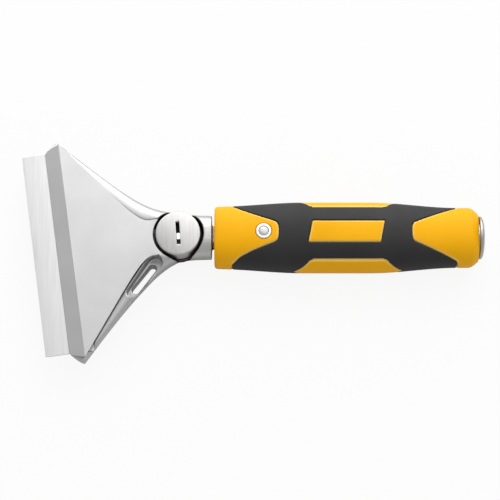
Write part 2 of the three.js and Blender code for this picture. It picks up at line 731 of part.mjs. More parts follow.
scraper.add(piece('handle_core', handleCore(), yellowPlastic.clone()));
scraper.add(piece('grip_sleeve', gripSleeve(), blackRubber.clone()));
scraper.add(piece('handle_rivet', handleRivet(), brushedSteel.clone()));
scraper.add(piece('rivet_ferrule_top', rivetFerrule(1), brushedSteel.clone()));
scraper.add(piece('rivet_ferrule_bottom', rivetFerrule(-1), brushedSteel.clone()));
scraper.add(piece('tie_rod', tieRod(), darkSteel.clone()));
scraper.add(piece('cap_lock_washer', capLockWasher(), darkSteel.clone()));
scraper.add(piece('butt_cap', buttCap(), darkSteel.clone()));

// The origin is under the middle of the whole tool, on the plane that it lies on.
const whole = new THREE.Box3().setFromObject(scraper, true);
const middle = whole.getCenter(new THREE.Vector3());
scraper.position.set(-middle.x, -middle.y, -whole.min.z);

export default scraper;
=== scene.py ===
# %% [markdown]
# # A floor scraper, from its frame to its finish
# The tool is a die-cast head that clamps a wide blade, on a grip moulded in two materials, with a
# steel cap at its end for a hammer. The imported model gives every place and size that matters. This
# lesson gives each visible piece a finer mesh and a worked-out finish.

# %% Load the frame
import json
import math

import bmesh
import bpy
import numpy as np
from mathutils import Matrix, Vector


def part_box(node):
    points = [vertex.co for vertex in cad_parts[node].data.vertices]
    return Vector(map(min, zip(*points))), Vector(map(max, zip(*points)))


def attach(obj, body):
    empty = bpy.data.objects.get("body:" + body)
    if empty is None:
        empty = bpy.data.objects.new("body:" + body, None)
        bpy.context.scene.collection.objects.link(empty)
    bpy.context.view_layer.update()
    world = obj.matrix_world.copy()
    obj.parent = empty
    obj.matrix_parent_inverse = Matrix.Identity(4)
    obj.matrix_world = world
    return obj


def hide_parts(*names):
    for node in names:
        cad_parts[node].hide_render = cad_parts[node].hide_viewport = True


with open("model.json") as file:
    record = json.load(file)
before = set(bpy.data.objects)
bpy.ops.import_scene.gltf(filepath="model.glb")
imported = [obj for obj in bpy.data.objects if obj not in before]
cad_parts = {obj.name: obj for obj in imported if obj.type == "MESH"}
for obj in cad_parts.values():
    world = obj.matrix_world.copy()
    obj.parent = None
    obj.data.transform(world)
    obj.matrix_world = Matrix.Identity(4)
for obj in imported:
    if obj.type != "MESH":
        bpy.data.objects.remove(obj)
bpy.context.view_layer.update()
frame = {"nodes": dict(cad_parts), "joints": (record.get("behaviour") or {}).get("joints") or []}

# %% [markdown]
# ## Where things are
# All shaping is done in millimetres, from one point: where the dial's axis meets the handle's axis.
# The frame says where that point is, and how far the head is set aslant to the handle.

# %% The tool's own coordinates
MM = 0.001
dial_low, dial_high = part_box("clamp_dial")
cap_low, cap_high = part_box("butt_cap")
plate_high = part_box("clamp_plate")[1]
blade_low, blade_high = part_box("scraper_blade")
core_low, core_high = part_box("handle_core")
sleeve_low, sleeve_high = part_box("grip_sleeve")
JAW_SLIP = 0.05
dial_middle = (dial_low + dial_high) / 2
cap_middle = (cap_low + cap_high) / 2
HOME = Vector((dial_middle.x, dial_middle.y, cap_middle.z))
slide = next(joint for joint in frame["joints"] if joint["name"] == "blade_slide")
HEAD_SKEW = math.atan2(-slide["axis"][1], -slide["axis"][0])


def height_of(point):
    return (point.z - HOME.z) / MM


def along(point):
    return (point.x - HOME.x) / MM


plate_bottom_of_jaw = height_of(blade_high) + JAW_SLIP
plate_top = height_of(plate_high)
blade_seat = height_of(blade_low)
blade_top = height_of(blade_high)
dial_top = height_of(dial_high)
dial_bottom = height_of(dial_low)
grip_start = along(core_low)
grip_end = along(core_high)
sleeve_start = along(sleeve_low)
sleeve_end = along(sleeve_high)
print(f"head aslant by {math.degrees(HEAD_SKEW):.1f} degrees")
print(f"grip from {grip_start:.1f} to {grip_end:.1f} mm")

# %% [markdown]
# ## Building blocks
# A solid is a list of points and faces. Prisms, turned pieces and lofts make nearly every blank;
# cutters are taken away from a blank with a boolean, as a milling cutter would. Cast and moulded
# blanks are then remeshed and smoothed a little, which rounds every edge as a mould does.

# %% Blanks


def new_object(name, points, faces):
    mesh = bpy.data.meshes.new(name)
    mesh.from_pydata([tuple(point) for point in points], [], faces)
    mesh.validate()
    thing = bpy.data.objects.new(name, mesh)
    bpy.context.scene.collection.objects.link(thing)
    builder = bmesh.new()
    builder.from_mesh(mesh)
    bmesh.ops.recalc_face_normals(builder, faces=builder.faces)
    builder.to_mesh(mesh)
    builder.free()
    return thing


def loft(name, rings):
    """A solid through rings with the same number of points, closed by a flat face at each end."""
    count = len(rings[0])
    points = [point for ring in rings for point in ring]
    faces = [tuple(range(count))[::-1], tuple(range(len(points) - count, len(points)))]
    for level in range(len(rings) - 1):
        for side in range(count):
            a = level * count + side
            b = level * count + (side + 1) % count
            faces.append((a, b, b + count, a + count))
    return new_object(name, points, faces)


def prism(name, outline, low, high):
    return loft(name, [[(x, y, low) for x, y in outline], [(x, y, high) for x, y in outline]])


def cross_prism(name, outline, half):
    """A prism that runs across the tool, over an outline in length and height."""
    return loft(name, [[(x, -half, z) for x, z in outline], [(x, half, z) for x, z in outline]])


def turned(name, profile, segments=96):
    """A piece turned about Z from (radius, height) pairs that start and end on the axis."""
    inner = profile[1:-1]
    points = [(0, 0, profile[0][1])]
    for radius, height in inner:
        for step in range(segments):
            angle = 2 * math.pi * step / segments
            points.append((radius * math.cos(angle), radius * math.sin(angle), height))
    points.append((0, 0, profile[-1][1]))
    faces = []
    for step in range(segments):
        after = (step + 1) % segments
        faces.append((0, 1 + after, 1 + step))
        for level in range(len(inner) - 1):
            a = 1 + level * segments
            faces.append((a + step, a + after, a + segments + after, a + segments + step))
        a = 1 + (len(inner) - 1) * segments
        faces.append((a + step, a + after, len(points) - 1))
    return new_object(name, points, faces)


def drum(name, radius, low, high, segments=96):
    return turned(name, [(0, low), (radius, low), (radius, high), (0, high)], segments)


def block(name, low, high):
    (x0, y0, z0), (x1, y1, z1) = low, high
    return prism(name, [(x0, y0), (x1, y0), (x1, y1), (x0, y1)], z0, z1)


def moved(thing, matrix):
    thing.data.transform(matrix)
    return thing


def shifted(thing, x, y, z):
    return moved(thing, Matrix.Translation((x, y, z)))


def aslant(thing):
    return moved(thing, Matrix.Rotation(HEAD_SKEW, 4, "Z"))


def along_handle(thing):
    return moved(thing, Matrix.Rotation(math.pi / 2, 4, "Y"))


print("blanks are made with loft, prism, turned, drum and block")


# %% [markdown]
# ### Cutting and joining
# One shape is taken from another, or added to it, by a boolean. A remesh into small even cells and a
# light smoothing then round the edges, as casting and moulding do. Where an edge has to stay crisp, a
# narrow bevel rounds it instead.

# %% Cutting, joining and rounding


def bake(thing):
    """Applies the piece's modifiers to its mesh."""
    depsgraph = bpy.context.evaluated_depsgraph_get()
    mesh = bpy.data.meshes.new_from_object(thing.evaluated_get(depsgraph))
    thing.modifiers.clear()
    thing.data = mesh
    return thing


def combine(thing, others, operation):
    for other in others:
        modifier = thing.modifiers.new("combine", "BOOLEAN")
        modifier.operation = operation
        modifier.solver = "MANIFOLD"
        modifier.object = other
        bake(thing)
        bpy.data.objects.remove(other)
    return thing


def carve(thing, *cutters):
    return combine(thing, cutters, "DIFFERENCE")


def join(thing, *others):
    return combine(thing, others, "UNION")


def keep_inside(thing, other):
    return combine(thing, [other], "INTERSECT")


def soften(thing, voxel, passes):
    """Remeshes the piece evenly and smooths it, so that every edge gets a small round."""
    remesh = thing.modifiers.new("remesh", "REMESH")
    remesh.mode = "VOXEL"
    remesh.voxel_size = voxel
    remesh.use_smooth_shade = True
    smooth = thing.modifiers.new("smooth", "SMOOTH")
    smooth.factor = 0.5
    smooth.iterations = passes
    return bake(thing)


def break_edges(thing, width, segments=3, angle=35):
    """A small round on every sharp edge, as deburring leaves it."""
    bevel = thing.modifiers.new("bevel", "BEVEL")
    bevel.width = width
    bevel.segments = segments
    bevel.limit_method = "ANGLE"
    bevel.angle_limit = math.radians(angle)
    bevel.harden_normals = False
    bake(thing)
    return thing


def coordinates(thing):
    flat = np.zeros(len(thing.data.vertices) * 3)
    thing.data.vertices.foreach_get("co", flat)
    return flat.reshape(-1, 3)


print("pieces are shaped with carve, join, keep_inside, soften and break_edges")


# %% [markdown]
# ### Handing over
# A finished piece is scaled from millimetres to metres and put where the frame has it. It is then told
# which body it moves with, which material it has, and which plain solid it takes the place of.

# %% Handing a piece over to the frame


def hand_over(thing, body, slot, material, *nodes, sharp=40):
    """Brings a piece from millimetres into the frame, and says what it rides on and stands for."""
    thing.data.transform(Matrix.Translation(HOME) @ Matrix.Scale(MM, 4))
    thing.data.materials.clear()
    thing.data.materials.append(material)
    thing.data.polygons.foreach_set("use_smooth", [True] * len(thing.data.polygons))
    if sharp:
        thing.data.set_sharp_from_angle(angle=math.radians(sharp))
    thing.data.update()
    if nodes:
        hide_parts(*nodes)
    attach(thing, body)
    print(thing.name, "has", len(thing.data.polygons), "faces")
    return thing


print("pieces are handed over at", [round(value, 4) for value in HOME], "m")


# %% [markdown]
# ## Finishes
# A finish is never one flat colour. Each one below starts from the material's own colour, lets a
# slow noise shift it a little, and gives the surface a fine relief of its own: a grain for castings
# and mouldings, and stretched lines where a belt or a lathe tool has run.

# %% Small parts of a finish


def new_finish(name, metallic, roughness):
    material = bpy.data.materials.new(name)
    material.use_nodes = True
    tree = material.node_tree
    shader = tree.nodes["Principled BSDF"]
    shader.inputs["Metallic"].default_value = metallic
    shader.inputs["Roughness"].default_value = roughness
    return material, tree, shader


def noise(tree, scale, detail=4.0, stretch=(1, 1, 1), turn=0.0):
    """A noise fixed to the piece, in features per metre; a stretch draws it out into lines."""
    place = tree.nodes.new("ShaderNodeTexCoord")
    mapping = tree.nodes.new("ShaderNodeMapping")
    mapping.inputs["Scale"].default_value = stretch
    mapping.inputs["Rotation"].default_value = (0, 0, turn)
    texture = tree.nodes.new("ShaderNodeTexNoise")
    texture.inputs["Scale"].default_value = scale
    texture.inputs["Detail"].default_value = detail
    tree.links.new(place.outputs["Object"], mapping.inputs["Vector"])
    tree.links.new(mapping.outputs["Vector"], texture.inputs["Vector"])
    return texture.outputs["Fac"]


def shade(tree, fac, dark, light, low=0.3, high=0.7):
    """Turns a noise into a colour between two that are close to each other."""
    ramp = tree.nodes.new("ShaderNodeValToRGB")
    ramp.color_ramp.elements[0].position = low
    ramp.color_ramp.elements[1].position = high
    ramp.color_ramp.elements[0].color = (*dark, 1)
    ramp.color_ramp.elements[1].color = (*light, 1)
    tree.links.new(fac, ramp.inputs["Fac"])
    return ramp.outputs["Color"]


def spread(tree, fac, low, high):
    """Maps a noise to a range of numbers, such as a roughness."""
    span = tree.nodes.new("ShaderNodeMapRange")
    span.inputs["To Min"].default_value = low
    span.inputs["To Max"].default_value = high
    tree.links.new(fac, span.inputs["Value"])
    return span.outputs["Result"]


def mixed(tree, fac, first, second):
    mix = tree.nodes.new("ShaderNodeMix")
    mix.data_type = "RGBA"
    tree.links.new(fac, mix.inputs["Factor"])
    tree.links.new(first, mix.inputs["A"])
    tree.links.new(second, mix.inputs["B"])
    return mix.outputs["Result"]


def relief(tree, shader, layers):
    """Stacks bumps, each given as a height, a strength and a depth in metres."""
    normal = None
    for height, strength, depth in layers:
        bump = tree.nodes.new("ShaderNodeBump")
        bump.inputs["Strength"].default_value = strength
        bump.inputs["Distance"].default_value = depth
        tree.links.new(height, bump.inputs["Height"])
        if normal:
            tree.links.new(normal, bump.inputs["Normal"])
        normal = bump.outputs["Normal"]
    tree.links.new(normal, shader.inputs["Normal"])


def attribute(tree, name):
    node = tree.nodes.new("ShaderNodeAttribute")
    node.attribute_name = name
    return node.outputs["Fac"]


def gray(value, warmth=0.0):
    return (value * (1 + warmth), value, value * (1 - warmth))


print("finishes are built from noise, shade, spread, mixed and relief")


# %% [markdown]
# ### Cast aluminium, tumbled and brushed
# The head is a die casting that was tumbled until it has a soft satin, and its sides were then
# passed across a belt. The plate keeps the plain satin; the casting's sides get fine cross lines.

# %% Cast aluminium


def cast_aluminium(name, tone, lines):
    material, tree, shader = new_finish(name, 1.0, 0.36)
    cloud = noise(tree, 60, 3)
    grain = noise(tree, 2600, 3)
    brushing = noise(tree, 900, 2, stretch=(1.0, 0.06, 0.06), turn=lines)
    base_tone = shade(tree, cloud, gray(tone - 0.02), gray(tone + 0.02))
    # Painted shade: this near-black colour is mixed in where the mesh carries the painted-shade value, in
    # recesses that would lie in shadow.
    shaded_tone = shade(tree, grain, gray(0.03, 0.1), gray(0.07, 0.1))
    tree.links.new(mixed(tree, attribute(tree, "painted_shade"), base_tone, shaded_tone), shader.inputs["Base Color"])
    tree.links.new(spread(tree, grain, 0.36, 0.5), shader.inputs["Roughness"])
    relief(tree, shader, [(grain, 0.12, 0.00004), (brushing, 0.1, 0.00006)])
    return material


plate_finish = cast_aluminium("plate_satin", 0.54, 0.0)
casting_finish = cast_aluminium("casting_satin", 0.52, math.radians(35))
print("castings:", plate_finish.name, "and", casting_finish.name)

# %% [markdown]
# ### Steel: ground, turned, brushed and oiled
# The blade is ground along its length, the dial is brushed straight across its face, and the cap is
# turned, so its lines run in rings. The hidden fasteners are plain dark steel.

# %% Steels


def lined_steel(name, tone, warmth, roughness, stretch, turn=0.0, scale=1400):
    material, tree, shader = new_finish(name, 1.0, roughness)
    lines = noise(tree, scale, 3, stretch=stretch, turn=turn)
    cloud = noise(tree, 45, 2)
    light = shade(tree, lines, gray(tone - 0.04, warmth), gray(tone + 0.03, warmth))
    # Painted shade: this near-black colour is mixed in where the mesh carries the painted-shade value, in
    # recesses and under the jaw's front edge.
    shaded_tone = shade(tree, cloud, gray(0.01), gray(0.03))
    tree.links.new(mixed(tree, attribute(tree, "painted_shade"), light, shaded_tone), shader.inputs["Base Color"])
    tree.links.new(spread(tree, cloud, roughness - 0.05, roughness + 0.07), shader.inputs["Roughness"])
    relief(tree, shader, [(lines, 0.16, 0.00004)])
    return material


blade_finish = lined_steel("blade_ground", 0.71, 0.0, 0.32, (1.0, 0.03, 1.0), turn=HEAD_SKEW)
dial_finish = lined_steel("dial_brushed", 0.52, 0.01, 0.38, (1.0, 0.04, 1.0), turn=math.radians(4))
stud_finish = lined_steel("stud_bright", 0.9, 0.0, 0.25, (1.0, 1.0, 0.1))
ferrule_finish = lined_steel("ferrule_bright", 0.74, 0.03, 0.36, (1.0, 1.0, 1.0))
rivet_finish = lined_steel("rivet_satin", 0.56, 0.0, 0.42, (1.0, 1.0, 1.0))
fastener_finish = lined_steel("fastener_dark", 0.3, 0.02, 0.4, (1.0, 1.0, 0.2), scale=900)
print("brushed and ground steels:", blade_finish.name, dial_finish.name, rivet_finish.name)


def ringed_steel(name, tone, warmth, roughness):
    """Steel faced on a lathe: the relief depends only on the distance from the handle's axis."""
    material, tree, shader = new_finish(name, 1.0, roughness)
    place = tree.nodes.new("ShaderNodeTexCoord")
    centred = tree.nodes.new("ShaderNodeVectorMath")
    centred.operation = "SUBTRACT"
    centred.inputs[1].default_value = (0, HOME.y, HOME.z)
    flat = tree.nodes.new("ShaderNodeVectorMath")
    flat.operation = "MULTIPLY"
    flat.inputs[1].default_value = (0, 1, 1)
    length = tree.nodes.new("ShaderNodeVectorMath")
    length.operation = "LENGTH"
    rings = tree.nodes.new("ShaderNodeTexNoise")
    rings.noise_dimensions = "1D"
    rings.inputs["Scale"].default_value = 2600
    tree.links.new(place.outputs["Object"], centred.inputs[0])
    tree.links.new(centred.outputs["Vector"], flat.inputs[0])
    tree.links.new(flat.outputs["Vector"], length.inputs[0])
    tree.links.new(length.outputs["Value"], rings.inputs["W"])
    dents = noise(tree, 260, 2)
    tone_of = shade(tree, rings.outputs["Fac"], gray(tone - 0.06, warmth), gray(tone + 0.05, warmth))
    tree.links.new(tone_of, shader.inputs["Base Color"])
    relief(tree, shader, [(rings.outputs["Fac"], 0.25, 0.00006), (dents, 0.15, 0.0002)])
    return material


cap_finish = ringed_steel("cap_turned", 0.46, 0.03, 0.34)
print("turned steel:", cap_finish.name)

# %% [markdown]
# ### The grip's two mouldings
# The hard core is a glossy plastic with a fine spark texture. The mesh carries a value named rim that is
# 1 along the bevelled edges of its raised islands, where the core is painted a lighter cream: a painted
# highlight. The soft sleeve is a matte rubber with a slightly coarser grain, tinted a darker brown along
# the groove where it meets the core.

# %% Plastic and rubber


def grip_plastic(name):
    material, tree, shader = new_finish(name, 0.0, 0.42)
    cloud = noise(tree, 40, 2)
    spark = noise(tree, 3800, 2)
    shader.inputs["Specular IOR Level"].default_value = 0.12
    body = shade(tree, cloud, (0.84, 0.4, 0.001), (0.9, 0.44, 0.003))
    # Painted highlight: a lighter cream yellow is mixed in along the islands' bevelled edges, where the
    # value named rim is set.
    rim_highlight = shade(tree, cloud, (0.86, 0.56, 0.13), (0.92, 0.62, 0.18))
    tree.links.new(mixed(tree, attribute(tree, "rim"), body, rim_highlight), shader.inputs["Base Color"])
    tree.links.new(spread(tree, spark, 0.36, 0.5), shader.inputs["Roughness"])
    relief(tree, shader, [(spark, 0.14, 0.00005)])
    return material


def grip_rubber(name):
    material, tree, shader = new_finish(name, 0.0, 0.58)
    cloud = noise(tree, 55, 3)
    grain = noise(tree, 2400, 3)
    body = shade(tree, cloud, (0.016, 0.0155, 0.016), (0.024, 0.023, 0.0235))
    shader.inputs["Specular IOR Level"].default_value = 0.32
    groove = shade(tree, cloud, (0.02, 0.009, 0.002), (0.03, 0.013, 0.003))
    tree.links.new(mixed(tree, attribute(tree, "rim"), body, groove), shader.inputs["Base Color"])
    tree.links.new(spread(tree, grain, 0.5, 0.66), shader.inputs["Roughness"])
    relief(tree, shader, [(grain, 0.3, 0.00008)])
    return material


plastic_finish = grip_plastic("core_plastic")
rubber_finish = grip_rubber("sleeve_rubber")
print("mouldings:", plastic_finish.name, "and", rubber_finish.name)

# %% [markdown]
# ## The head casting
# The lower jaw, both arms, the neck and the tang are one casting. It is made as a founder would see
# it: a blank whose sections swell from the round neck to the wide jaw, then the seats, pockets and
# holes taken out of it, and all edges softened.

# %% Outlines of the head
HEAD_REACH = 58.2
EAR_REACH = 52.0
BLADE_HALF = 50.0
EAR_WIDTH = 5.3
EAR_TIP = (EAR_REACH, BLADE_HALF + EAR_WIDTH)
NECK_END = 16.0
NECK_HALF = 10.45
PLATE_EAR = (51.8, BLADE_HALF + 2.7)
PLATE_TAIL = (12.8, 8.0)


def bezier(a, b, c, d, count):
    """Points along a cubic curve, from the first corner to the last."""
    steps = np.linspace(0, 1, count)[:, None]
    a, b, c, d = (np.array(corner, float) for corner in (a, b, c, d))
    left = 1 - steps
    return a * left**3 + 3 * b * left**2 * steps + 3 * c * left * steps**2 + d * steps**3


head_side = bezier(EAR_TIP, (12.5, 12.9), (8, 10.8), (-NECK_END, NECK_HALF), 200)
plate_side = bezier(PLATE_EAR, (26, 19.0), (PLATE_TAIL[0] + 6.5, PLATE_TAIL[1]), PLATE_TAIL, 200)


def half_width(side, reach):
    return float(np.interp(-reach, -side[:, 0], side[:, 1]))


def both_sides(side):
    """A symmetric outline in the head's own frame, where the blade is towards -X."""
    left = [(-reach, half) for reach, half in side]
    return left + [(x, -y) for x, y in reversed(left)]


def plate_outline(count=40):
    curve = [tuple(point) for point in plate_side[:: len(plate_side) // count]]
    front = [(HEAD_REACH, BLADE_HALF - 0.2), (HEAD_REACH - 1.2, BLADE_HALF + 1.0)]
    front += [(PLATE_EAR[0] + 2.0, PLATE_EAR[1] - 0.4)]
    return both_sides(front + curve + [(PLATE_TAIL[0] - 4, PLATE_TAIL[1])])


def grown(outline, distance):
    """Every side of an outline moved outwards by a distance, or inwards if it is negative."""
    points = np.array(outline)
    before = points - np.roll(points, 1, axis=0)
    after = np.roll(points, -1, axis=0) - points
    before /= np.linalg.norm(before, axis=1)[:, None]
    after /= np.linalg.norm(after, axis=1)[:, None]
    x, y = points.T
    area = np.sum(x * np.roll(y, -1) - np.roll(x, -1) * y)
    share = math.copysign(distance, area) / (1 + np.sum(before * after, axis=1))
    turn = before + after
    return [tuple(point) for point in points + np.stack([turn[:, 1], -turn[:, 0]], 1) * share[:, None]]


def distance_to(points, outline, closed=True):
    """Distance of each plan point to the nearest side of an outline."""
    nearest = np.full(len(points), 1e9)
    corners = np.array(outline)
    count = len(corners) if closed else len(corners) - 1
    for start, end in list(zip(corners, np.roll(corners, -1, axis=0)))[:count]:
        line = end - start
        share = np.clip((points - start) @ line / (line @ line), 0, 1)
        nearest = np.minimum(nearest, np.linalg.norm(points - start - share[:, None] * line, axis=1))
    return nearest


def in_head_frame(points):
    """Plan points seen from the head, where the blade runs straight across."""
    c, s = math.cos(HEAD_SKEW), math.sin(HEAD_SKEW)
    return np.stack([points[:, 0] * c + points[:, 1] * s, points[:, 1] * c - points[:, 0] * s], axis=1)


def paint(thing, name, values):
    """Writes one number per vertex, for a finish to use."""
    layer = thing.data.attributes.new(name, "FLOAT", "POINT")
    layer.data.foreach_set("value", np.clip(values, 0, 1))


print("jaw is", 2 * EAR_TIP[1], "mm across its ears")

# %% [markdown]
# ### The blank
# The casting changes from a round neck to a wide flat jaw, so its sections are worked out one after
# another along its length and joined by a loft. Simple blocks would leave corners that no casting has.

# %% The casting's blank


def ease(value, low, high):
    share = min(max((value - low) / (high - low), 0), 1)
    return share * share * (3 - 2 * share)


def between(low, high, share):
    return low + (high - low) * share


def head_section(reach):
    ear_cut = max(0, reach - EAR_REACH) / (HEAD_REACH - EAR_REACH)
    wide = half_width(head_side, reach)
    if reach > EAR_REACH:
        wide = BLADE_HALF + EAR_WIDTH * (1 - ear_cut**1.4)
    edge = half_width(plate_side, max(reach, PLATE_TAIL[0]))
    if reach > PLATE_EAR[0]:
        edge = wide - 1.7 * (1 - ear_cut)
    flat = between(0.6, min(edge, wide - 0.3), ease(reach, -4, PLATE_TAIL[0]))
    base = between(0.6, wide - 2.5, ease(reach, 0, 20))
    keel = between(-10, -1.5, min(max((reach - 5) / (HEAD_REACH - 5), 0), 1))
    flank = between(-0.6, blade_seat - 1.2, ease(reach, 10, 40))
    crown = between(8.8, blade_top, ease(reach, -2, 32))
    return wide, flat, base, keel, flank, crown


def head_ring(reach, steps=10):
    wide, flat, base, keel, flank, crown = head_section(reach)
    angles = np.linspace(0, math.pi / 2, steps + 1)
    low = [(base + (wide - base) * math.sin(a), flank + (keel - flank) * math.cos(a)) for a in angles]
    rise = [(math.cos(a) ** 0.76, math.sin(a) ** 0.76) for a in angles[1:-1]] + [(0, 1)]
    top = [(flat + (wide - flat) * c, flank + (crown - flank) * s) for c, s in rise]
    half = low + top
    turn = HEAD_SKEW * ease(reach, -10, 12)
    spine = HEAD_SKEW if reach > 0 else 0
    x, y = -reach * math.cos(spine), -reach * math.sin(spine)
    section = half + [(-across, height) for across, height in reversed(half)]
    return [(x - across * math.sin(turn), y + across * math.cos(turn), height) for across, height in section]


TANG_END = 58
TANG_HALF = (4.2, 6.5)
TANG_SLIP = 0.3
FOOT_RADIUS = 9
reaches = list(np.linspace(HEAD_REACH, EAR_REACH, 8)) + list(np.linspace(EAR_REACH - 1.5, -NECK_END, 46))
casting = loft("casting", [head_ring(reach) for reach in reaches])
join(
    casting,
    block("tang", (NECK_END - 2, -TANG_HALF[0], -TANG_HALF[1]), (TANG_END, *TANG_HALF)),
    drum("pad", FOOT_RADIUS, -HOME.z / MM, -7),
)
print("casting blank has", len(casting.data.polygons), "faces")

# %% [markdown]
# ### Seats, pockets and holes
# The real casting is milled and drilled after it comes from the die. The plate's seat, the blade's seat
# and the dial's pocket are cut in the same way here, with one cutter each. The ribs below are left
# between four hollows, which save metal. The dial's pocket and the valley round the plate carry a value
# that darkens the finish there: painted shade, standing in for the shadow in those recesses.

# %% Seats, pockets and holes


def stadium(first, second, radius_first, radius_second, count=16):
    """The outline round two circles of different size."""
    (x1, y1), (x2, y2) = first, second
    heading = math.atan2(y2 - y1, x2 - x1)
    outline = []
    for (x, y), radius, start in (
        ((x1, y1), radius_first, heading + math.pi / 2),
        ((x2, y2), radius_second, heading - math.pi / 2),
    ):
        for step in range(count + 1):
            angle = start + math.pi * step / count
            outline.append((x + radius * math.cos(angle), y + radius * math.sin(angle)))
    return outline


FAR = 60
RIVET_AT = 40.8
RIVET_BORE = 2.45
pocket_radius = 12.15
pocket_floor = -3.4
slot_ends = [(-23.8, -22.7), (-14.4, -13.2)]
scoop = stadium((-25.6, -24.3), (-12.9, -12.0), 2.4, 3.7)
rib_inner = [(-49, 3), (-49, 19), (-38, 19), (-24, 8), (-22, 3)]
rib_outer = [(-49, 22.5), (-49, 43), (-47, 43), (-36.5, 30.5), (-36.5, 22.5)]
hollows = [
    prism("hollow", [(x, side * y) for x, y in outline], -FAR, blade_seat - 2)
    for outline in (rib_inner, rib_outer)
    for side in (1, -1)
]
carve(
    casting,
    aslant(prism("plate_seat", grown(plate_outline(), 0.8), blade_top, FAR)),
    aslant(block("blade_seat", (-2 * FAR, -50.3, blade_seat - JAW_SLIP), (-46.4, 50.3, FAR))),
    aslant(block("throat", (-17.3, -7.1, pocket_floor), (0, 7.1, FAR))),
    aslant(prism("hang_slot", stadium(*slot_ends, 1.8, 1.8), -FAR, FAR)),
    aslant(prism("scoop", scoop, -0.8, FAR)),
    *[aslant(hollow) for hollow in hollows],
    drum("pocket", pocket_radius, pocket_floor, FAR),
    drum("spring_room", 5.9, -6, FAR),
    drum("insert_bore", 4.1, -FAR, FAR),
    drum("clip_room", 5, -FAR, -10),
    shifted(drum("rivet_bore", RIVET_BORE, -FAR, FAR), RIVET_AT, 0, 0),
)
soften(casting, 0.36, 4)
points = coordinates(casting)
plan = in_head_frame(points)
ring = np.hypot(points[:, 0], points[:, 1])
# Painted shade: the pocket and the valley along the plate's edge are darkened as if in shadow. The valley
# fades out towards the ears and is weaker towards the neck. The pocket's mask has no height limit, so the
# foot under the dial is darkened too.
in_pocket = np.clip((pocket_radius + 0.5 - ring) / 0.5, 0, 1)
in_valley = np.clip((1.1 - distance_to(plan, plate_outline())) / 0.5, 0, 1)
in_valley *= np.clip((50 + plan[:, 0]) / 4, 0, 1)
in_valley *= np.clip((-14 - plan[:, 0]) / 6, 0.3, 1) * 0.85
paint(casting, "painted_shade", np.maximum(in_pocket, in_valley))
hand_over(casting, "handle_and_head", "cast_aluminium", casting_finish, "head_casting", sharp=0)

# %% [markdown]
# ## The upper jaw
# The plate is a flat casting with a rounded rim and a long bevel along its front. A rib goes down
# behind the blade to a tongue under the dial, which is what the dial presses on.

# %% Clamp plate
rim_round = 0.75
outline = plate_outline()
rings = [[(x, y, plate_bottom_of_jaw) for x, y in outline]]
for step in range(9):
    angle = step / 8 * math.pi / 2
    inset = rim_round * (1 - math.cos(angle))
    level = plate_top - rim_round * (1 - math.sin(angle))
    rings.append([(x, y, level) for x, y in grown(outline, -inset - 0.001)])
plate = loft("upper_jaw", rings)
BEVEL_LENGTH = 7.0
BEVEL_DROP = 2.25
slope = BEVEL_DROP / BEVEL_LENGTH
bevel = cross_prism(
    "bevel",
    [
        (-HEAD_REACH - 3, plate_top - BEVEL_DROP - 3 * slope),
        (-HEAD_REACH + BEVEL_LENGTH + 3, plate_top + 3 * slope),
        (-HEAD_REACH - 3, plate_top + 12),
    ],
    90,
)
carve(plate, bevel, drum("pocket", pocket_radius, -0.3, FAR))
join(
    plate,
    block("rib", (-17, -6.8, -3.2), (-11.5, 6.8, plate_bottom_of_jaw + 0.5)),
    drum("tongue", 10.9, -3.2, -0.3),
)
carve(plate, drum("stud_hole", 2.8, -FAR, FAR))
break_edges(plate, 0.22, 2, 28)
points = coordinates(plate)
ring = np.hypot(points[:, 0], points[:, 1])
# Painted shade: the tongue and the other parts of the plate that lie inside the dial's pocket, below the
# plate's top, are darkened.
paint(plate, "painted_shade", (ring < pocket_radius + 0.1) & (points[:, 2] < plate_top - 0.5))
aslant(plate)
hand_over(plate, "upper_jaw", "cast_aluminium", plate_finish, "clamp_plate", sharp=14)

# %% [markdown]
# ## The blade
# A scraper blade is a strip of spring steel with a wide ground edge. Its section is run along the
# cutting edge. The last 1.8 mm is ground down to about a tenth of a millimetre, mostly from below,
# and a thin dark line is painted across it just under the jaw's front edge: a painted shadow.

# %% Scraper blade
BLADE_OUT = 11.5
BLADE_DEPTH = 23
GROUND = 1.8
edge = -HEAD_REACH - BLADE_OUT
back = edge + BLADE_DEPTH
section = [
    (edge, blade_top - 0.2),
    (edge + GROUND, blade_seat),
    (back, blade_seat),
    (back, blade_top),
    # The next three points bound the thin painted shadow line under the jaw's front edge.
    (-HEAD_REACH + 0.4, blade_top),
    (-HEAD_REACH - 0.15, blade_top),
    (-HEAD_REACH - 0.55, blade_top),
    (edge + GROUND, blade_top),
    (edge, blade_top - 0.08),
]
blade = cross_prism("blade", section, BLADE_HALF)
break_edges(blade, 0.05, 2, 12)
# Painted shadow: a thin dark band across the blade just under the jaw's front edge; it moves with the blade
# when the blade slides.
paint(blade, "painted_shade", 0.6 * (np.abs(coordinates(blade)[:, 0] + HEAD_REACH + 0.15) < 0.2))
aslant(blade)
hand_over(blade, "blade", "blade_steel", blade_finish, "scraper_blade", sharp=8)

# %% [markdown]
# ## The dial and its stud
# The dial is a turned disc with a rolled rim. A coin turns it, in a slot deep enough to show the
# bright end of the stud at its bottom.

# %% Dial
DIAL_RADIUS = 10.8
rim = 0.75


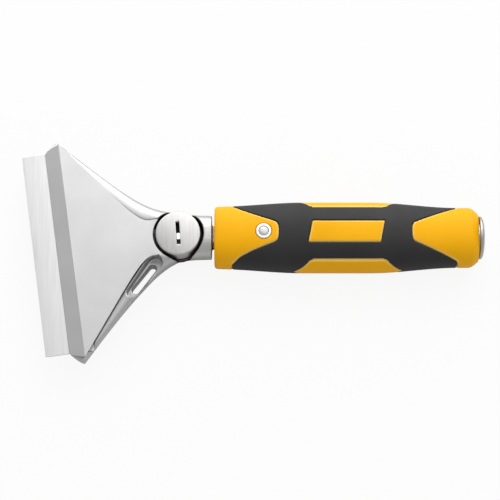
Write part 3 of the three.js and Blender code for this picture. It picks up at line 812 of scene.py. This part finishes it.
def rounded_disc(radius, low, high, low_round, high_round, crown=0.0, steps=6):
    """A disc's profile, with a quarter round at each rim and a slightly domed top."""
    profile = [(0, low)]
    for step in range(steps + 1):
        angle = step / steps * math.pi / 2
        inset, rise = low_round * (1 - math.sin(angle)), low_round * (1 - math.cos(angle))
        profile.append((radius - inset, low + rise))
    for step in range(steps + 1):
        angle = step / steps * math.pi / 2
        inset, drop = high_round * (1 - math.cos(angle)), high_round * (1 - math.sin(angle))
        profile.append((radius - inset, high - drop))
    inner = radius - high_round
    for step in range(1, steps):
        share = 1 - step / steps
        profile.append((inner * share, high + crown * (1 - share * share)))
    return profile + [(0, high + crown)]


dome = 0.6
dial = turned("dial", rounded_disc(DIAL_RADIUS, dial_bottom, dial_top - dome, 0.6, rim, dome), 128)
coin_slot = block("coin_slot", (-0.95, -5.6, dial_top - 5.7), (0.95, 5.6, FAR))
carve(
    dial,
    moved(coin_slot, Matrix.Rotation(math.radians(4.2), 4, "Z")),
    drum("stud_bore", 2.1, -FAR, dial_top - 4.7, 48),
)
break_edges(dial, 0.12, 2, 40)
points = coordinates(dial)
ring = np.hypot(points[:, 0], points[:, 1])
# Painted shade: everything more than 2 mm in from the rim and below the top face is darkened, which is the
# coin slot, the stud bore and the underside's middle.
paint(dial, "painted_shade", (ring < DIAL_RADIUS - 2) & (points[:, 2] < dial_top - 0.8))
hand_over(dial, "dial", "brushed_steel", dial_finish, "clamp_dial")

# %% [markdown]
# ### The stud
# The stud is a steel screw that holds the dial to the casting. It is turned, so one profile is enough.
# Its thread is hidden, so it is left as a plain cylinder, and a groove near its foot takes the clip.

# %% Stud
stud_low, stud_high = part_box("clamp_stud")
foot, head = height_of(stud_low), height_of(stud_high)
stud = turned(
    "stud",
    [
        (0, foot),
        (1.9, foot),
        (2.2, foot + 0.3),
        (2.2, foot + 0.6),
        (1.9, foot + 0.6),
        (1.9, foot + 1.4),
        (2.5, foot + 1.5),
        (2.5, dial_bottom - 0.1),
        (2.0, dial_bottom - 0.1),
        (2.0, head - 0.4),
        (1.6, head),
        (0, head + 0.0001),
    ],
    48,
)
hand_over(stud, "dial", "brushed_steel", stud_finish, "clamp_stud")

# %% [markdown]
# ## The grip
# The grip's outside is one smooth surface, wider than it is thick. Two mouldings share it: the hard
# core comes up through the soft sleeve as two tongues, a panel on each face and a long window on each
# side. Both are cut from the same surface with the same outlines, so they meet in one even groove.

# %% The grip's surface
GRIP_HALF_WIDTH = 17.2
GRIP_HALF_HEIGHT = HOME.z / MM
SQUARENESS = 2.2


def grip_size(x):
    front = 1 - ease(x, grip_start, 60)
    rear = ease(x, 92, 134)
    lip = max(0, 1 - (x - grip_start) / 1.8)
    chamfer = max(0, (x - (grip_end - 3.9)) / 3.9)
    cut = 1.5 * (1 - math.sqrt(max(0, 1 - lip**2))) + 2.9 * chamfer**1.3
    half = GRIP_HALF_WIDTH - 2.1 * front - 2.7 * rear - cut
    tall = GRIP_HALF_HEIGHT - 0.7 * front - 1.1 * rear - cut
    return half, tall


def grip_ring(x, inset, count=96):
    half, tall = grip_size(x)
    angles = np.linspace(0, 2 * math.pi, count, endpoint=False)
    y = (half - inset) * np.sign(np.cos(angles)) * np.abs(np.cos(angles)) ** (2 / SQUARENESS)
    z = (tall - inset) * np.sign(np.sin(angles)) * np.abs(np.sin(angles)) ** (2 / SQUARENESS)
    return [(x, a, b) for a, b in zip(y, z)]


def grip_body(name, inset, start, end):
    stations = [start] + [start + step * (end - start) / 80 for step in range(1, 80)] + [end]
    if start <= grip_start:
        stations = [start + 1.8 * (step / 6) ** 2 for step in range(6)] + stations[2:]
    return loft(name, [grip_ring(x, inset) for x in stations])


print(f"grip is {2 * GRIP_HALF_WIDTH:.1f} mm wide and {2 * GRIP_HALF_HEIGHT:.1f} mm thick at its middle")


# %% [markdown]
# ### The islands
# Each island is drawn as a flat outline and pushed through the grip as a cutter. The tongues and the
# panel are drawn from above and the windows from the side. The same outline, a little smaller or
# larger, cuts each of the two mouldings, and the difference is the groove between them.

# %% The islands' outlines


def mirrored(side):
    return side + [(x, -y) for x, y in reversed(side)]


front_side = [(sleeve_start - 6, 18), (sleeve_start + 0.3, 14.2), (29.8, 11.6), (35.2, 9.1), (40.4, 7.1)]
front_side += [(45.6, 5.2), (46.9, 4.4), (47.6, 3.2), (47.8, 1.6)]
rear_side = [(111.6, 2.2), (111.9, 3.6), (112.7, 4.6), (132.6, 12.9), (sleeve_end + 5, 16.5)]
front_tongue = mirrored(front_side)
rear_tongue = mirrored(rear_side)
centre_panel = [(62.2, -5.2), (96.3, -5.2), (98.3, 5.2), (64.2, 5.2)]
window_half = [(55, 0), (61.4, -6.6), (62.6, -7.8), (64.4, -8.3)]
window_half += [(97.6, -8.3), (99.4, -7.8), (100.6, -6.6), (107, 0)]
side_window = window_half + [(x, -z) for x, z in window_half[-2:0:-1]]


def island_cutters(distance):
    plans = [grown(shape, distance) for shape in (front_tongue, centre_panel, rear_tongue)]
    uprights = [prism("island", plan, -FAR, FAR) for plan in plans]
    return uprights + [cross_prism("island", grown(side_window, distance), FAR)]


def groove_distance(points):
    """How far each point of the grip lies from the nearest line between its two mouldings."""
    plan = points[:, :2]
    side = points[:, [0, 2]]
    up = np.abs(points[:, 2]) > 7.2
    out = np.abs(points[:, 1]) > 8.5
    nearest = np.full(len(points), 1e9)
    front_path = mirrored([(sleeve_start, 30), *front_side[1:]])
    rear_path = mirrored([(sleeve_end, 30), (sleeve_end, 13.4), *rear_side[-2::-1]])
    for path in (front_path, rear_path):
        nearest = np.minimum(nearest, distance_to(plan, path, closed=False))
    panel = np.where(up, distance_to(plan, centre_panel), 1e9)
    window = np.where(out, 1.7 * distance_to(side, side_window), 1e9)
    return np.minimum.reduce([nearest, panel, window])


print("islands: two tongues, a panel on each face and a window on each side")


# %% [markdown]
# ### The hard core
# The core is the whole grip's surface where an island or a collar shows, and a thinner body under the
# sleeve. Its edges sink a little towards the groove, as a polished mould leaves them.

# %% Cutting the two mouldings


def depth_under_surface(points):
    """How far each point lies under the grip's outer surface, measured along its radius."""
    sizes = np.array([grip_size(x) for x in points[:, 0]])
    across, up = np.abs(points[:, 1:] / sizes).T
    share = across**SQUARENESS + up**SQUARENESS
    radius = np.linalg.norm(points[:, 1:], axis=1)
    return radius * (1 / np.maximum(share, 1e-6) ** (1 / SQUARENESS) - 1)


def mark_rim(thing, width, drop):
    """Sinks the outer surface towards the groove over a width, and writes the value named rim."""
    points = coordinates(thing)
    near = np.clip(1 - groove_distance(points) / width, 0, 1)
    outer = depth_under_surface(points) < 0.5
    rim_value = np.where(outer, near, 0)
    sink = drop * rim_value**1.5
    radius = np.linalg.norm(points[:, 1:], axis=1)[:, None]
    points[:, 1:] *= 1 - sink[:, None] / np.maximum(radius, 1)
    thing.data.vertices.foreach_set("co", points.ravel())
    paint(thing, "rim", rim_value * 1.6)


core = grip_body("core", 0, grip_start, grip_end)
raised = island_cutters(-0.15)
raised.append(block("front_collar", (0, -FAR, -FAR), (sleeve_start - 0.3, FAR, FAR)))
raised.append(block("rear_collar", (sleeve_end + 0.3, -FAR, -FAR), (grip_end + FAR, FAR, FAR)))
kept = raised.pop()
join(kept, *raised)
keep_inside(core, kept)
join(core, grip_body("inner", 2.15, sleeve_start - 4, sleeve_end + 4))
spigot_front = grip_end - 12.2
tang_room = [half + TANG_SLIP for half in TANG_HALF]
carve(
    core,
    block("tang_room", (0, -tang_room[0], -tang_room[1]), (TANG_END + TANG_SLIP, *tang_room)),
    along_handle(drum("rod_bore", 4.3, TANG_END, grip_end + FAR)),
    along_handle(drum("spigot_bore", 8.5, spigot_front - 1.4, grip_end + FAR)),
    shifted(drum("rivet_bore", RIVET_BORE, -FAR, FAR), RIVET_AT, 0, 0),
    shifted(drum("ferrule_room", 3.9, 9.3, FAR), RIVET_AT, 0, 0),
    shifted(drum("ferrule_room", 3.9, -FAR, -9.3), RIVET_AT, 0, 0),
)
soften(core, 0.34, 3)
mark_rim(core, 0.8, 0.35)
hand_over(core, "handle_and_head", "yellow_plastic", plastic_finish, "handle_core", sharp=0)

# %% [markdown]
# ### The soft sleeve
# The sleeve is moulded over the core. It is a shell with the same outer surface, and the islands are cut
# out of it a little larger than they stand on the core.

# %% Soft sleeve
sleeve = grip_body("sleeve", 0, sleeve_start, sleeve_end)
carve(sleeve, grip_body("inner", 1.85, sleeve_start - 1, sleeve_end + 1), *island_cutters(0.25))
soften(sleeve, 0.34, 3)
mark_rim(sleeve, 0.6, 0.25)
hand_over(sleeve, "handle_and_head", "black_rubber", rubber_finish, "grip_sleeve", sharp=0)

# %% [markdown]
# ## Rivet, ferrules and cap
# The rivet goes right through the grip and the tang, and each end is set in a bright ferrule. The cap
# is turned from bar: a shallow dome with a small flat in the middle for the hammer.

# %% Rivet and ferrules
rivet_reach = height_of(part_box("handle_rivet")[1])


def domed_pin(radius, reach, dome, steps=6):
    profile = []
    for step in range(steps + 1):
        angle = step / steps * math.pi / 2
        profile.append((radius * math.sin(angle), -reach + dome * (1 - math.cos(angle))))
    return profile + [(r, -z) for r, z in reversed(profile)]


rivet = shifted(turned("rivet", domed_pin(2.35, rivet_reach, 0.5), 64), RIVET_AT, 0, 0)
hand_over(rivet, "handle_and_head", "brushed_steel", rivet_finish, "handle_rivet")
for name, side in (("ferrule_top", 1), ("ferrule_bottom", -1)):
    ferrule = turned(name, rounded_disc(3.8, rivet_reach - 2.6, rivet_reach - 0.15, 0.2, 0.5), 64)
    carve(ferrule, drum("rivet_bore", RIVET_BORE, 0, FAR, 64))
    break_edges(ferrule, 0.25, 3, 40)
    if side < 0:
        moved(ferrule, Matrix.Rotation(math.pi, 4, "X"))
    shifted(ferrule, RIVET_AT, 0, 0)
    hand_over(ferrule, "handle_and_head", "brushed_steel", ferrule_finish, "rivet_" + name)

# %% [markdown]
# ### The striking cap
# The cap takes a hammer's blows, so it is solid steel turned from bar. A spigot centres it in the grip,
# and its shallow dome is one curve of the turned profile.

# %% Striking cap
CAP_RADIUS = 10.3
cap_end = along(cap_high)
seat = grip_end + 0.3
profile = [(0, spigot_front + 9.5), (3.4, spigot_front + 9.5), (3.4, spigot_front), (8.0, spigot_front)]
profile += [(8.2, spigot_front + 0.2), (8.2, seat), (CAP_RADIUS - 0.3, seat), (CAP_RADIUS, seat + 0.3)]
for step in range(15):
    angle = step / 14 * math.pi / 2
    radius = 4 + (CAP_RADIUS - 4) * math.cos(angle) ** 0.9
    profile.append((radius, seat + 0.9 + (cap_end - seat - 0.9) * math.sin(angle)))
profile += [(2, cap_end), (0, cap_end)]
cap = along_handle(turned("cap", profile, 128))
hand_over(cap, "handle_and_head", "cap_steel", cap_finish, "butt_cap")

# %% [markdown]
# ## The fasteners inside
# The washer, spring, insert, clip, pins and tie rod keep the shape that the model gave them, because
# only slivers of them ever show. They get the dark oiled steel.

# %% Hidden pieces
hidden = ["dial_washer", "lift_spring", "stud_insert", "retaining_clip", "guide_pin_left", "guide_pin_right"]
hidden += ["tie_rod", "cap_lock_washer"]
for name in hidden:
    node = frame["nodes"][name]
    node.data.materials.clear()
    node.data.materials.append(fastener_finish)
print("hidden pieces finished:", len(hidden))

# %% [markdown]
# ## Floor, light and camera
# The tool lies on a white table. A wide soft box hangs over it and another stands behind it, and the
# rest of the room is a plain gray, so the metal has something light and something dark to show.

# %% Floor
FLOOR_HALF = 1.5
FLOOR_THICKNESS = 0.02
floor = block("floor", (-FLOOR_HALF, -FLOOR_HALF, -FLOOR_THICKNESS), (FLOOR_HALF, FLOOR_HALF, 0))
floor_finish, tree, shader = new_finish("floor_white", 0.0, 0.9)
shader.inputs["Base Color"].default_value = (0.78, 0.78, 0.78, 1)
glow = tree.nodes.new("ShaderNodeEmission")
glow.inputs["Strength"].default_value = 1.0
blend = tree.nodes.new("ShaderNodeMixShader")
rays = tree.nodes.new("ShaderNodeLightPath")
share = tree.nodes.new("ShaderNodeMath")
share.operation = "MULTIPLY"
share.inputs[1].default_value = 0.9
tree.links.new(rays.outputs["Is Camera Ray"], share.inputs[0])
tree.links.new(share.outputs["Value"], blend.inputs["Fac"])
tree.links.new(shader.outputs["BSDF"], blend.inputs[1])
tree.links.new(glow.outputs["Emission"], blend.inputs[2])
tree.links.new(blend.outputs["Shader"], tree.nodes["Material Output"].inputs["Surface"])
floor.data.materials.append(floor_finish)
print("table is", 2 * FLOOR_HALF, "m across")

# %% [markdown]
# ### Light
# Large soft boxes give metal its long even highlights, where a small lamp would leave a hard spot. The
# room itself is a little darker than the table, so the edges of the castings still show.

# %% Light
ROOM_LEVEL = 0.58
world = bpy.data.worlds.new("room")
bpy.context.scene.world = world
world.use_nodes = True
room = world.node_tree.nodes["Background"]
room.inputs["Color"].default_value = (1, 1, 1, 1)
world_rays = world.node_tree.nodes.new("ShaderNodeLightPath")
level = world.node_tree.nodes.new("ShaderNodeMapRange")
level.inputs["To Min"].default_value = ROOM_LEVEL
level.inputs["To Max"].default_value = 1.0
world.node_tree.links.new(world_rays.outputs["Is Camera Ray"], level.inputs["Value"])
world.node_tree.links.new(level.outputs["Result"], room.inputs["Strength"])


def soft_box(name, place, size, radiance):
    """A rectangle of light that faces the tool, set by how bright its surface looks."""
    lamp = bpy.data.lights.new(name, "AREA")
    lamp.shape = "RECTANGLE"
    lamp.size, lamp.size_y = size
    lamp.energy = radiance * math.pi * size[0] * size[1]
    box = bpy.data.objects.new(name, lamp)
    bpy.context.scene.collection.objects.link(box)
    box.location = place
    box.rotation_euler = (Vector((0, 0, 0.01)) - Vector(place)).to_track_quat("-Z", "Y").to_euler()
    return box


soft_box("overhead", (0.22, 0.34, 0.95), (0.82, 0.7), 1.0)
soft_box("behind", (0.0, 1.15, 0.7), (2.2, 1.4), 2.15)
print("two soft boxes, in a room at", ROOM_LEVEL)

# %% [markdown]
# ### Camera
# The camera looks almost straight down, leaning a little towards the near side, and stands far enough
# away that the tool's two ends are seen at the same scale.

# %% Camera
LEAN = math.radians(16)
DISTANCE = 0.9
FOCAL_LENGTH = 134.8
AIM_ALONG = 0.0343
AIM_DOWN = 0.0058
camera_data = bpy.data.cameras.new("camera")
camera_data.lens = FOCAL_LENGTH
camera_data.sensor_width = 36
camera = bpy.data.objects.new("camera", camera_data)
bpy.context.scene.collection.objects.link(camera)
bpy.context.scene.camera = camera
upward = Vector((0, math.cos(LEAN), math.sin(LEAN)))
backward = Vector((0, -math.sin(LEAN), math.cos(LEAN)))
target = HOME + Vector((AIM_ALONG, 0, 0)) - upward * AIM_DOWN
camera.location = target + backward * DISTANCE
camera.rotation_euler = Matrix((Vector((1, 0, 0)), upward, backward)).transposed().to_euler()
bpy.context.scene.view_settings.view_transform = "Standard"
print("camera stands", DISTANCE, "m away and leans by", round(math.degrees(LEAN)), "degrees")
